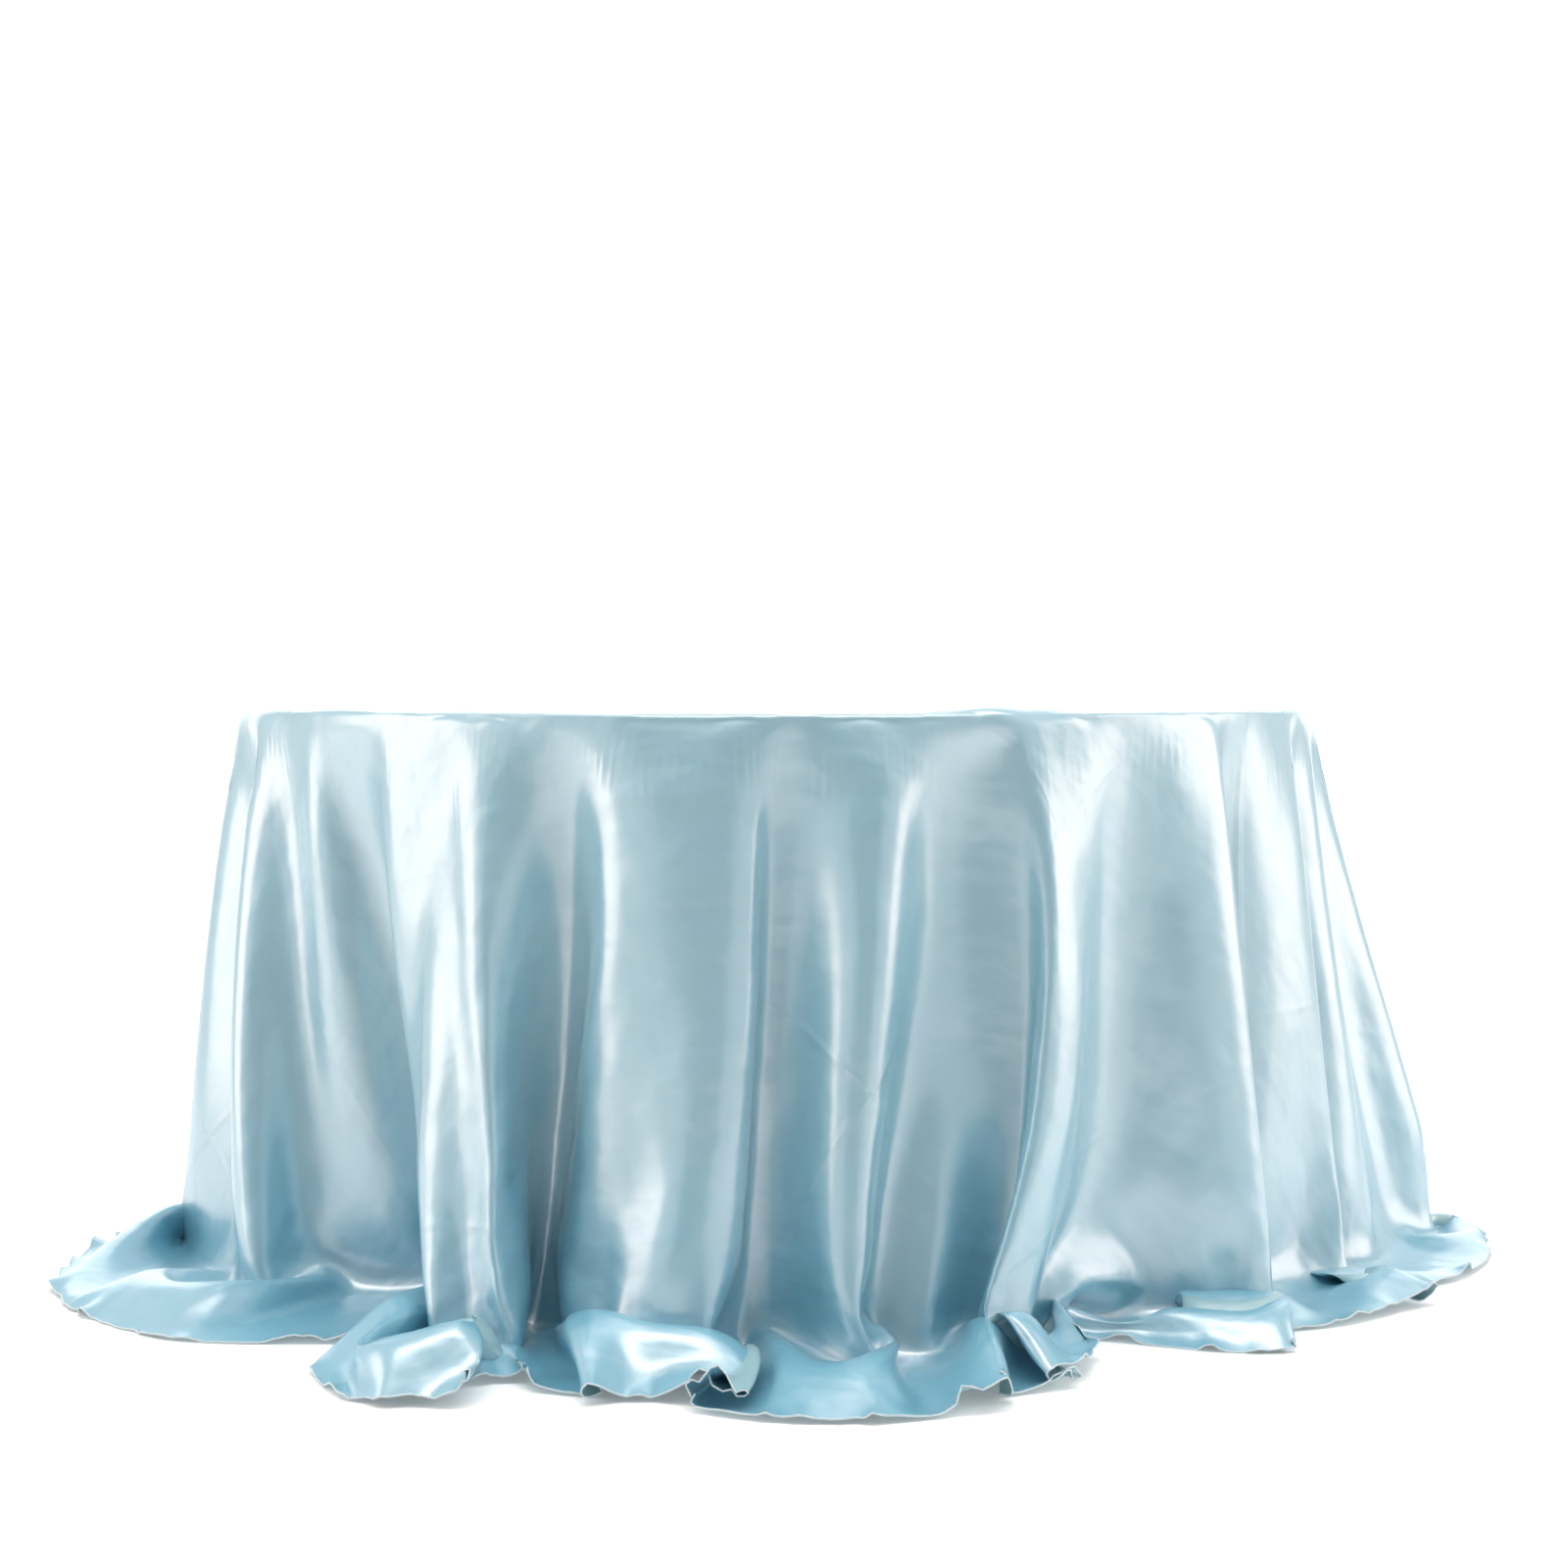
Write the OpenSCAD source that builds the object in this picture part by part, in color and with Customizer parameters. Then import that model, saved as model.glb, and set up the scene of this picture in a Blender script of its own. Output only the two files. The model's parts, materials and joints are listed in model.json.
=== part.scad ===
// Round floor-length tablecloth over a round folding table.
// Millimetres, +Z up, origin on the floor under the middle of the table.

/* [Table] */
// Diameter of the round table top
table_d = 1524; // [1480:4:1580]
// Height of the top's upper face above the floor
table_h = 749; // [735:1:775]
// Thickness of the plywood top
top_t = 18; // [16:1:21]
// Width of the vinyl band round the edge of the top
band_w = 4; // [3:1:6]

/* [Cloth] */
// Diameter of the round cloth, laid flat
cloth_d = 3353; // [3300:1:3400]
// Radius at which the hanging skirt reaches the floor
skirt_foot_r = 950; // [920:5:965]
// Thickness of the cloth
cloth_t = 1; // [0.8:0.1:1.5]
// Width and height of the rolled hem
hem_w = 3; // [2.4:0.2:4]

/* [Steel] */
// Outside diameter of the leg tube
tube_d = 25.4; // [24:0.2:26]
// Wall of the leg tube
tube_wall = 1.5; // [1.2:0.1:2]
// Diameter of the rubber foot caps
foot_d = 32; // [30:0.5:33]
// Length of the two rails under the top
rail_len = 1040; // [1000:10:1100]
// Wall of the rails
rail_wall = 3; // [2.5:0.5:4]

/* [Hidden] */

table_r = table_d / 2;
tube_r = tube_d / 2;
under_z = table_h - top_t;      // underside of the plywood
hinge_z = under_z - 26;         // axis both leg frames fold about
hinge_x = 430;                  // distance of each leg frame's hinge from the middle
right_leg_y = 330;              // the right frame is the wider one, so that the left one folds inside it
left_leg_y = 290;

rail_y = 350;                   // inner face of each rail
rail_h = 41;
rail_flange = 25;
pin_r = 8;                      // hinge bars
fit = 0.05;                     // radial clearance of everything that turns
end_gap = 1;                    // collar to the rail
collar_len = 6;

cross_drop = 130;               // cross bar below the hinge axis
bracket_x = 30;                 // brace pivot from the middle
brace_y = 54;                   // inner face of the upper brace link
brace_t = 4;
brace_w = 20;
brace_pin_r = 4;
lower_y = brace_y + 2 * brace_t;  // inner face of the lower brace link
straight = norm([hinge_x - bracket_x, cross_drop]);
folded = hinge_x - cross_drop - bracket_x;
upper_len = (straight - folded) / 2;
lower_len = (straight + folded) / 2;
brace_slope = atan2(cross_drop, hinge_x - bracket_x);

foot_h = 30;
foot_floor = 5;                 // rubber under the end of the tube

screw_r = 2.5;
screw_head_r = 4.5;
screw_head_h = 3;
screw_bite = 13;                // depth of each screw in the plywood
rail_screw_x = [-480, -240, 0, 240, 480];
bracket_screw_dx = [-16, 16];
bracket_plate_t = 3;
bracket_screw_y = 34;

clear = 0.3;                    // cloth to the edge of the table
skirt_in_r = table_r + clear;
skirt_run = skirt_foot_r - skirt_in_r;
skirt_len = norm([skirt_run, table_h]);
skirt_shift = cloth_t * skirt_len / table_h;
pool_r = cloth_d / 2 - hem_w - skirt_len + skirt_run;

$fn = 64;
ROUND = 180;

wood = [0.76, 0.62, 0.43];
vinyl = [0.30, 0.26, 0.22];
steel = [0.30, 0.31, 0.33];
zinc = [0.70, 0.71, 0.72];
rubber = [0.10, 0.10, 0.10];
satin = [0.66, 0.80, 0.86];
thread = [0.80, 0.90, 0.94];

// ---- helpers ----

// A bar lying along Y, centred on the frame's middle plane
module y_rod(r, len) {
    rotate([90, 0, 0]) cylinder(r = r, h = len, center = true);
}

// A disc or pin along +Y, starting at y
module y_pin(r, y, len) {
    translate([0, y + len, 0]) rotate([90, 0, 0]) cylinder(r = r, h = len);
}

// Every place where a rail screw enters the top, at the underside
module at_rail_screws() {
    for (side = [-1, 1], x = rail_screw_x)
        translate([x, side * (rail_y + rail_flange / 2 + rail_wall / 2), under_z]) children();
}

module at_bracket_screws() {
    for (turn = [0, 180], dx = bracket_screw_dx)
        rotate([0, 0, turn]) translate([bracket_x + dx, bracket_screw_y, under_z]) children();
}

// The left frame and brace are the right ones turned half round
module left_side() {
    rotate([0, 0, 180]) children();
}

// ---- table ----

module table_top() {
    color(wood) difference() {
        translate([0, 0, under_z]) cylinder(r = table_r - band_w, h = top_t, $fn = ROUND);
        at_rail_screws() translate([0, 0, -1]) cylinder(r = screw_r, h = screw_bite + 1);
        at_bracket_screws() translate([0, 0, -1]) cylinder(r = screw_r, h = screw_bite + 1);
    }
}

module edge_band() {
    bevel = band_w / 2;
    color(vinyl) translate([0, 0, under_z]) rotate_extrude($fn = ROUND) translate([table_r - band_w, 0])
        polygon([[0, 0], [band_w - bevel, 0], [band_w, bevel], [band_w, top_t - bevel],
                 [band_w - bevel, top_t], [0, top_t]]);
}

// C-channel on the +Y side, web inwards, bored for one end of each hinge bar
module rail() {
    color(steel) difference() {
        translate([-rail_len / 2, rail_y, under_z - rail_h]) cube([rail_len, rail_flange, rail_h]);
        translate([-rail_len / 2 - 1, rail_y + rail_wall, under_z - rail_h + rail_wall])
            cube([rail_len + 2, rail_flange, rail_h - 2 * rail_wall]);
        for (x = [-hinge_x, hinge_x])
            translate([x, 0, hinge_z]) y_pin(pin_r + fit, rail_y - 1, rail_wall + 2);
        for (x = rail_screw_x)
            translate([x, rail_y + rail_flange / 2 + rail_wall / 2, under_z - rail_wall - 1])
                cylinder(r = screw_r, h = rail_wall + 2);
    }
}

module rail_front() {
    mirror([0, 1, 0]) rail();
}

module rail_rear() {
    rail();
}

// Pan-head screw whose head bears on a sheet of thickness t under the top
module screw(t) {
    translate([0, 0, -t]) cylinder(r = screw_r, h = t + screw_bite);
    translate([0, 0, -t - screw_head_h]) cylinder(r = screw_head_r, h = screw_head_h);
}

module rail_screws() {
    color(zinc) at_rail_screws() screw(rail_wall);
}

module bracket_screws() {
    color(zinc) at_bracket_screws() screw(bracket_plate_t);
}

// Folded plate under the top with the fixed pin that the upper brace link turns on
module brace_bracket() {
    tab_t = 3;
    tab_r = 12;
    plate_y = 22;
    tab_y = brace_y - 1 - tab_t;
    color(zinc) {
        difference() {
            translate([bracket_x - 26, plate_y, under_z - bracket_plate_t])
                cube([52, tab_y + tab_t - plate_y, bracket_plate_t]);
            for (dx = bracket_screw_dx)
                translate([bracket_x + dx, bracket_screw_y, under_z - bracket_plate_t - 1])
                    cylinder(r = screw_r, h = bracket_plate_t + 2);
        }
        translate([bracket_x - tab_r, tab_y, hinge_z]) cube([2 * tab_r, tab_t, under_z - hinge_z]);
        translate([bracket_x, 0, hinge_z]) {
            y_pin(tab_r, tab_y, tab_t);
            y_pin(brace_pin_r, tab_y, lower_y - 1 - tab_y);
            y_pin(1.6 * brace_pin_r, brace_y + brace_t + 1, lower_y - brace_y - brace_t - 2);
        }
    }
}

module brace_bracket_right() {
    brace_bracket();
}

module brace_bracket_left() {
    left_side() brace_bracket();
}

// ---- one folding leg frame, its tubes at y = -leg_y and leg_y ----

// Rod through both leg tubes, turning in the rails, with a collar inside each rail
module hinge_bar() {
    collar_y = rail_y - end_gap - collar_len;
    color(steel) translate([hinge_x, 0, hinge_z]) {
        y_rod(pin_r, 2 * (rail_y + rail_wall + 4));
        y_pin(tube_r, collar_y, collar_len);
        y_pin(tube_r, -collar_y - collar_len, collar_len);
    }
}

module leg_tube(y) {
    top_z = hinge_z + pin_r + 3;
    color(steel) translate([hinge_x, y, 0]) difference() {
        translate([0, 0, foot_floor]) cylinder(r = tube_r, h = top_z - foot_floor);
        translate([0, 0, foot_floor - 1]) cylinder(r = tube_r - tube_wall, h = top_z);
        translate([0, 0, hinge_z]) y_rod(pin_r, 2 * foot_d);
    }
}

// Tube between the two leg tubes, its ends hollowed to sit round them
module cross_bar(leg_y) {
    color(steel) translate([hinge_x, 0, hinge_z - cross_drop]) difference() {
        y_rod(tube_r, 2 * leg_y);
        y_rod(tube_r - tube_wall, 2 * leg_y + 2);
        translate([0, leg_y, 0]) cylinder(r = tube_r, h = 2 * tube_d, center = true);
        translate([0, -leg_y, 0]) cylinder(r = tube_r, h = 2 * tube_d, center = true);
    }
}

module foot_caps(leg_y) {
    color(rubber) for (side = [-1, 1]) translate([hinge_x, side * leg_y, 0]) difference() {
        cylinder(r = foot_d / 2, h = foot_h);
        translate([0, 0, foot_floor]) cylinder(r = tube_r, h = foot_h);
    }
}

module right_hinge_bar() { hinge_bar(); }
module right_leg_front() { leg_tube(-right_leg_y); }
module right_leg_rear() { leg_tube(right_leg_y); }
module right_cross_bar() { cross_bar(right_leg_y); }
module right_foot_caps() { foot_caps(right_leg_y); }

module left_hinge_bar() { left_side() hinge_bar(); }
module left_leg_front() { left_side() leg_tube(left_leg_y); }
module left_leg_rear() { left_side() leg_tube(-left_leg_y); }
module left_cross_bar() { left_side() cross_bar(left_leg_y); }
module left_foot_caps() { left_side() foot_caps(left_leg_y); }

// ---- one folding brace, from the bracket down to the cross bar ----

// Flat link along +X from its first eye to its second
module link(len, y, first_r, second_r, second_bore_r) {
    difference() {
        union() {
            translate([0, y, -brace_w / 2]) cube([len, brace_t, brace_w]);
            y_pin(brace_w / 2, y, brace_t);
            translate([len, 0, 0]) y_pin(second_r, y, brace_t);
        }
        y_pin(first_r, y - 1, brace_t + 2);
        translate([len, 0, 0]) y_pin(second_bore_r, y - 1, brace_t + 2);
    }
}

module on_brace_line(from_pivot) {
    translate([bracket_x, 0, hinge_z]) rotate([0, brace_slope, 0]) translate([from_pivot, 0, 0]) children();
}

module upper_brace() {
    color(zinc) on_brace_line(0)
        link(upper_len, brace_y, brace_pin_r + fit, brace_w / 2, brace_pin_r);
}

module knee_rivet() {
    color(zinc) on_brace_line(upper_len) {
        y_pin(brace_pin_r, brace_y, brace_t);
        y_pin(1.6 * brace_pin_r, brace_y + brace_t, brace_t - 1);
        y_pin(1.6 * brace_pin_r, brace_y - 2, 2);
    }
}

module lower_brace() {
    color(zinc) on_brace_line(upper_len)
        link(lower_len, lower_y, brace_pin_r + fit, tube_r + 6, tube_r + fit);
}

module right_upper_brace() { upper_brace(); }
module right_knee_rivet() { knee_rivet(); }
module right_lower_brace() { lower_brace(); }

module left_upper_brace() { left_side() upper_brace(); }
module left_knee_rivet() { left_side() knee_rivet(); }
module left_lower_brace() { left_side() lower_brace(); }

// ---- cloth ----

// Flat over the top, flared to the floor, then spread out on it. The length along the
// section is the cut radius; the extra width round the skirt hangs as folds in the real cloth.
module tablecloth() {
    slope = skirt_run / table_h;
    color(satin) rotate_extrude($fn = ROUND)
        polygon([[0, table_h], [skirt_in_r, table_h], [skirt_foot_r, 0], [pool_r, 0], [pool_r, cloth_t],
                 [skirt_foot_r - cloth_t * slope + skirt_shift, cloth_t],
                 [skirt_in_r - cloth_t * slope + skirt_shift, table_h + cloth_t], [0, table_h + cloth_t]]);
}

module rolled_hem() {
    bevel = hem_w / 4;
    color(thread) rotate_extrude($fn = ROUND) translate([pool_r, 0])
        polygon([[0, 0], [hem_w - bevel, 0], [hem_w, bevel], [hem_w, hem_w - bevel],
                 [hem_w - bevel, hem_w], [bevel, hem_w], [0, hem_w - bevel]]);
}

table_top();
edge_band();
rail_front();
rail_rear();
rail_screws();
brace_bracket_right();
brace_bracket_left();
bracket_screws();
right_hinge_bar();
right_leg_front();
right_leg_rear();
right_cross_bar();
right_foot_caps();
left_hinge_bar();
left_leg_front();
left_leg_rear();
left_cross_bar();
left_foot_caps();
right_upper_brace();
right_knee_rivet();
right_lower_brace();
left_upper_brace();
left_knee_rivet();
left_lower_brace();
tablecloth();
rolled_hem();
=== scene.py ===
"""Round satin tablecloth over a round folding table, draped by a small cloth solver, in a white studio."""

import json
import math

import bpy
import numpy as np
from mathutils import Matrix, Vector


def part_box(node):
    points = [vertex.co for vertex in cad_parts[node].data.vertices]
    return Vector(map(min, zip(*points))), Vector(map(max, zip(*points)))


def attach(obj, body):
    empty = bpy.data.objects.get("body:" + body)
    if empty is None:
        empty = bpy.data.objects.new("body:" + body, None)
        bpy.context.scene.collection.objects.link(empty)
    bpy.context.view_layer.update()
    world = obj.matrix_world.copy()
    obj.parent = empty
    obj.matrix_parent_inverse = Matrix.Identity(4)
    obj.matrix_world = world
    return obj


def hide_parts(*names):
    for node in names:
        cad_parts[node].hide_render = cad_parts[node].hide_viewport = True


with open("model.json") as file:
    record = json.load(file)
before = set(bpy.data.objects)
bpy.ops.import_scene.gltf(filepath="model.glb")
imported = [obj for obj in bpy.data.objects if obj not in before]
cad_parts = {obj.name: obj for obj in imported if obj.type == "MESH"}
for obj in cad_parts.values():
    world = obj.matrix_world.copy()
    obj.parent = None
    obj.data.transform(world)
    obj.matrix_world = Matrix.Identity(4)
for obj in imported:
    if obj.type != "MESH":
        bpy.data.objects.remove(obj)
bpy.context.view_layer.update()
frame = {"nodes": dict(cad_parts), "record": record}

f32 = np.float32
scene = bpy.context.scene

# ---- sizes: the table's from the imported model, the rest given ----

TABLE_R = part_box("edge_band")[1].x
TABLE_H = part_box("table_top")[1].z
TOP_T = TABLE_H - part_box("table_top")[0].z
CUT_R = 3.353 / 2          # the cloth as cut, laid flat
HEM_W = 0.0022             # the rolled hem
RC = CUT_R - HEM_W
LIE = 0.0012               # middle of the cloth above what it rests on
OFF = (-0.045, -0.10)      # the cloth lies this far off the table's middle
R_IN = 0.70                # inside this the cloth just lies flat
RIM_ROUND = 0.0025         # radius that the rim is rounded to
GRAVITY = 9.81
SHEAR_HOLD = 0.2           # share of a shear that each solver step takes out
CONTACT_GRIP = 0.3         # friction of the cloth on itself
MAX_MOVE = 0.006           # farthest that a point moves in one solver step
CELLS = 1024               # cells along each axis when close points are looked up

# ---- how the folds are laid out ----

# Ridges and panel joints round the table, in degrees from the front, + to the right. Each row is the
# azimuth at the rim, the azimuth and radius where it meets the floor, the azimuth where it reaches the
# hem, the lean of the fold after it (+ tucks it in behind this ridge) and where that fold's bottom lies
# (under 1 is nearer this ridge).
RIDGES = [
    (-174, -179, 0.90, -179, 0, 1.0),
    (-150, -154, 0.88, -154, -15, 1.0),
    (-126, -128, 0.90, -128, 15, 1.0),
    (-104, -110, 0.83, -110, 0, 0.6),
    (-72, -65, 0.85, -61, 0, 2.1),
    (-30, -22.5, 0.92, -24, 0, 1.0),
    (-26.5, -19.5, 0.92, -17, 30, 0.65),
    (-10.9, -17.5, 0.825, -9, 0, 1.0),
    (-2, -1.7, 0.87, -2, 50, 0.6),
    (8.3, 7, 0.862, 6, 0, 1.0),
    (14.5, 12.5, 0.868, 10.5, -50, 1.5),
    (24.5, 14, 0.90, 15, 0, 1.0),
    (45, 46, 0.885, 38, 45, 0.6),
    (59, 54, 0.85, 47, 0, 1.0),
    (64, 60, 0.885, 56, 40, 0.7),
    (76, 69, 0.90, 66, 0, 1.0),
    (84, 80, 0.98, 78, 20, 0.8),
    (108, 106, 0.88, 106, 0, 1.0),
    (134, 131, 0.90, 131, -15, 1.0),
    (160, 156, 0.87, 156, 10, 1.0),
]
# How far out the hem lies on the floor, by azimuth
HEM_REACH = [
    (-180, 0.99), (-120, 0.98), (-90, 0.95), (-77, 0.98), (-66, 1.02), (-58, 1.06), (-50, 1.06),
    (-41, 1.01), (-35, 1.0), (-25, 1.16), (-17, 1.18), (-13, 1.07), (-9, 1.01), (-4, 1.05),
    (1, 1.08), (6, 1.14), (10, 1.10), (14, 0.97), (17, 1.0), (27, 1.01), (37, 1.03), (43, 0.95),
    (54, 1.02), (65, 1.05), (83, 1.01), (110, 0.98), (180, 0.99),
]
HANG = 0.765               # cloth from rim to floor, on average
HEM_AZ = np.radians([h[0] for h in HEM_REACH])
HEM_R = np.array([h[1] for h in HEM_REACH])


def azimuths(nt):
    """Azimuth of every spoke: 0 at the front, + to the right."""
    return -math.pi + 2 * math.pi * np.arange(nt) / nt


def hem_reach(psi):
    return np.interp((psi + math.pi) % (2 * math.pi) - math.pi, HEM_AZ, HEM_R)


def laid_curve(column, radii, flat_r, samples=60):
    """A closed line through every ridge, seen from above, with the azimuth on the flat cloth and the depth in
    its fold of each point. Each fold is made as deep as the spare width between its two ridges needs."""
    flat, xs, ys, tucked = [], [], [], []
    for q, a in enumerate(RIDGES):
        k = (q + 1) % len(RIDGES)
        b = RIDGES[k]
        turn = 360.0 if k == 0 else 0.0
        fa, fb = math.radians(a[0]), math.radians(b[0] + turn)
        pa, pb = math.radians(a[column]), math.radians(b[column] + turn)
        ra, rb = radii[q], radii[k]
        lean = math.radians(a[4])
        t = np.linspace(0, 1, samples + 1)
        bump = (0.5 - 0.5 * np.cos(2 * math.pi * t ** a[5])) ** 1.3

        def curve(depth):
            r = ra + (rb - ra) * t * t * (3 - 2 * t)
            p = pa + (pb - pa) * t - math.sin(lean) * depth * bump / r
            r = r - math.cos(lean) * depth * bump
            return r * np.sin(p), -r * np.cos(p)

        def length(depth):
            x, y = curve(depth)
            return float(np.hypot(np.diff(x), np.diff(y)).sum())

        want = flat_r * (fb - fa)
        lo, hi = 0.0, 0.32
        if length(0) < want:
            for _ in range(30):
                mid = (lo + hi) / 2
                lo, hi = (mid, hi) if length(mid) < want else (lo, mid)
        x, y = curve(lo)
        arc = np.concatenate([[0], np.cumsum(np.hypot(np.diff(x), np.diff(y)))])
        flat.append(fa + (fb - fa) * arc[:-1] / arc[-1])
        xs.append(x[:-1])
        ys.append(y[:-1])
        tucked.append(bump[:-1] * min(1, lo / 0.1))
    return [np.concatenate(v) for v in (flat, xs, ys, tucked)]


def on_spokes(curve, nt, smooth):
    """A laid curve read at every spoke of the grid."""
    flat, *rest = curve
    full = np.concatenate([flat - 2 * math.pi, flat, flat + 2 * math.pi])
    out = []
    for v in rest:
        v = np.interp(azimuths(nt), full, np.tile(v, 3))
        for _ in range(smooth):
            v = (np.roll(v, 1) + 2 * v + np.roll(v, -1)) / 4
        out.append(v)
    return out


def flat_radius(rho, nt):
    """Distance on the flat cloth from the table's middle of every grid point. The rings are even near the
    table and follow the cut's edge outside, which is off centre."""
    turned = azimuths(nt) - math.atan2(OFF[0], -OFF[1])
    d = math.hypot(*OFF)
    edge = d * np.cos(turned) + np.sqrt(RC**2 - (d * np.sin(turned)) ** 2)
    k = np.clip((rho[:, None] - 0.80) / (RC - 0.80), 0, 1)
    return rho[:, None] + k * (edge[None, :] - RC)


# Billows where the cloth puddles on the floor: azimuth, half width in degrees, height
BILLOWS = [
    (-80, 9, 0.05), (-50, 12, 0.035), (-21, 6, 0.022), (-14, 3, 0.05), (-6, 3.5, 0.05),
    (1.5, 3, 0.05), (9, 4, 0.045), (17, 3, 0.06), (31, 10, 0.025), (47, 4, 0.04), (62, 7, 0.03),
    (76, 5, 0.035), (105, 10, 0.04), (140, 12, 0.04), (172, 12, 0.04), (-150, 12, 0.04),
    (-118, 12, 0.04),
]


def billow(psi):
    h = 0
    for az, half, height in BILLOWS:
        away = (psi - math.radians(az) + math.pi) % (2 * math.pi) - math.pi
        h = h + height * np.exp(-((away / math.radians(half)) ** 2))
    return h


# Folds that bow sideways on their way down: azimuth at the rim, half width in degrees, how far in m
# (+ to the right)
SWAYS = [(24.5, 7, 0.075), (-27, 4, -0.02)]


def sway(theta, u):
    total = 0
    for az, half, far in SWAYS:
        total = total + far * np.exp(-(((theta - math.radians(az)) / math.radians(half)) ** 2))
    return total * np.sin(math.pi * u**0.55)


def low_pass(v, k):
    spectrum = np.fft.rfft(v)
    spectrum[k + 1 :] = 0
    return np.fft.irfft(spectrum, len(v))


def start_shape(nt, rho):
    """The folds as laid out, before gravity settles them: straight down from the rim to the floor
    line, with each ring's waves as deep as its spare width needs, then out over the floor to the hem. Also
    which points hang (0 at the rim, 1 at the foot) and which lie on the floor."""
    theta = azimuths(nt)
    fx, fy, tucked = on_spokes(laid_curve(1, [r[2] for r in RIDGES], TABLE_R + HANG), nt, 8)
    reach = [float(hem_reach(math.radians(r[3]))) for r in RIDGES]
    hx, hy, _ = on_spokes(laid_curve(3, reach, RC), nt, 8)
    rx, ry = np.sin(theta), -np.cos(theta)
    ex, ey = rx * (TABLE_R + 0.002), ry * (TABLE_R + 0.002)
    bx, by = low_pass(fx, 3), low_pass(fy, 3)
    wave_x, wave_y = fx - bx, fy - by
    drop = np.sqrt((fx - ex) ** 2 + (fy - ey) ** 2 + TABLE_H**2)
    out_x, out_y = hx - fx, hy - fy
    psi = np.arctan2(fx, -fy)
    R = flat_radius(rho, nt)
    tail = np.maximum(R[-1] - TABLE_R - drop, 1e-3)
    k_out = np.minimum(1.0, tail / np.hypot(out_x, out_y))
    P = np.zeros((3, len(rho), nt))
    hung, lying = np.zeros((2, len(rho), nt))
    for i in range(len(rho)):
        s = R[i] - TABLE_R
        if s.max() <= 0:
            P[:, i] = rx * R[i], ry * R[i], np.full(nt, TABLE_H + LIE)
            continue
        s = np.maximum(s, 0)
        u = np.minimum(s / drop, 1.0)
        depth = s.mean() / HANG
        if depth < 1:
            lo, hi = depth, min(1.0, depth * 4 + 0.1)
            for _ in range(25):
                mid = (lo + hi) / 2
                qx, qy = ex + (bx - ex) * u + wave_x * mid, ey + (by - ey) * u + wave_y * mid
                short = np.hypot(np.diff(qx), np.diff(qy)).sum() < 2 * math.pi * R[i].mean()
                lo, hi = (mid, hi) if short else (lo, mid)
            depth = lo
        else:
            depth = 1.0
        v = np.clip((s - drop) / tail, 0, 1)
        shift = sway(theta, u)
        P[0, i] = ex + (bx - ex) * u + wave_x * depth + out_x * v * k_out - ry * shift
        P[1, i] = ey + (by - ey) * u + wave_y * depth + out_y * v * k_out + rx * shift
        loft = np.clip((s - drop) / 0.05, 0, 1) * (1 - tucked) * 0.03
        P[2, i] = (TABLE_H + LIE) * (1 - u) + LIE + loft + billow(psi + 0.05 * v) * np.sin(math.pi * v) ** 1.5
        hung[i], lying[i] = u, np.clip((s - drop) / 0.03, 0, 1)
    return P, hung, lying


# ---- cloth solver: position-based, on a grid of rings and spokes ----


def push_off_table(P, gap):
    """Moves points out of the table top, a slab with a rounded rim, to a gap from its surface."""
    x, y, z = P
    radius, half = RIM_ROUND, TOP_T / 2
    R = np.sqrt(x * x + y * y) + 1e-9
    over = z - TABLE_H + half
    e, f = R - TABLE_R + radius, np.abs(over) - half + radius
    ep, fp = np.maximum(e, 0), np.maximum(f, 0)
    n = np.sqrt(ep**2 + fp**2)
    push = np.maximum(radius + gap - n - np.minimum(np.maximum(e, f), 0), 0)
    corner, side = (e > 0) & (f > 0), e > f
    to_side = np.where(corner, ep / (n + 1e-9), side)
    to_face = np.where(corner, fp / (n + 1e-9), ~side)
    x += push * to_side * x / R
    y += push * to_side * y / R
    z += push * to_face * np.sign(over)


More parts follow.
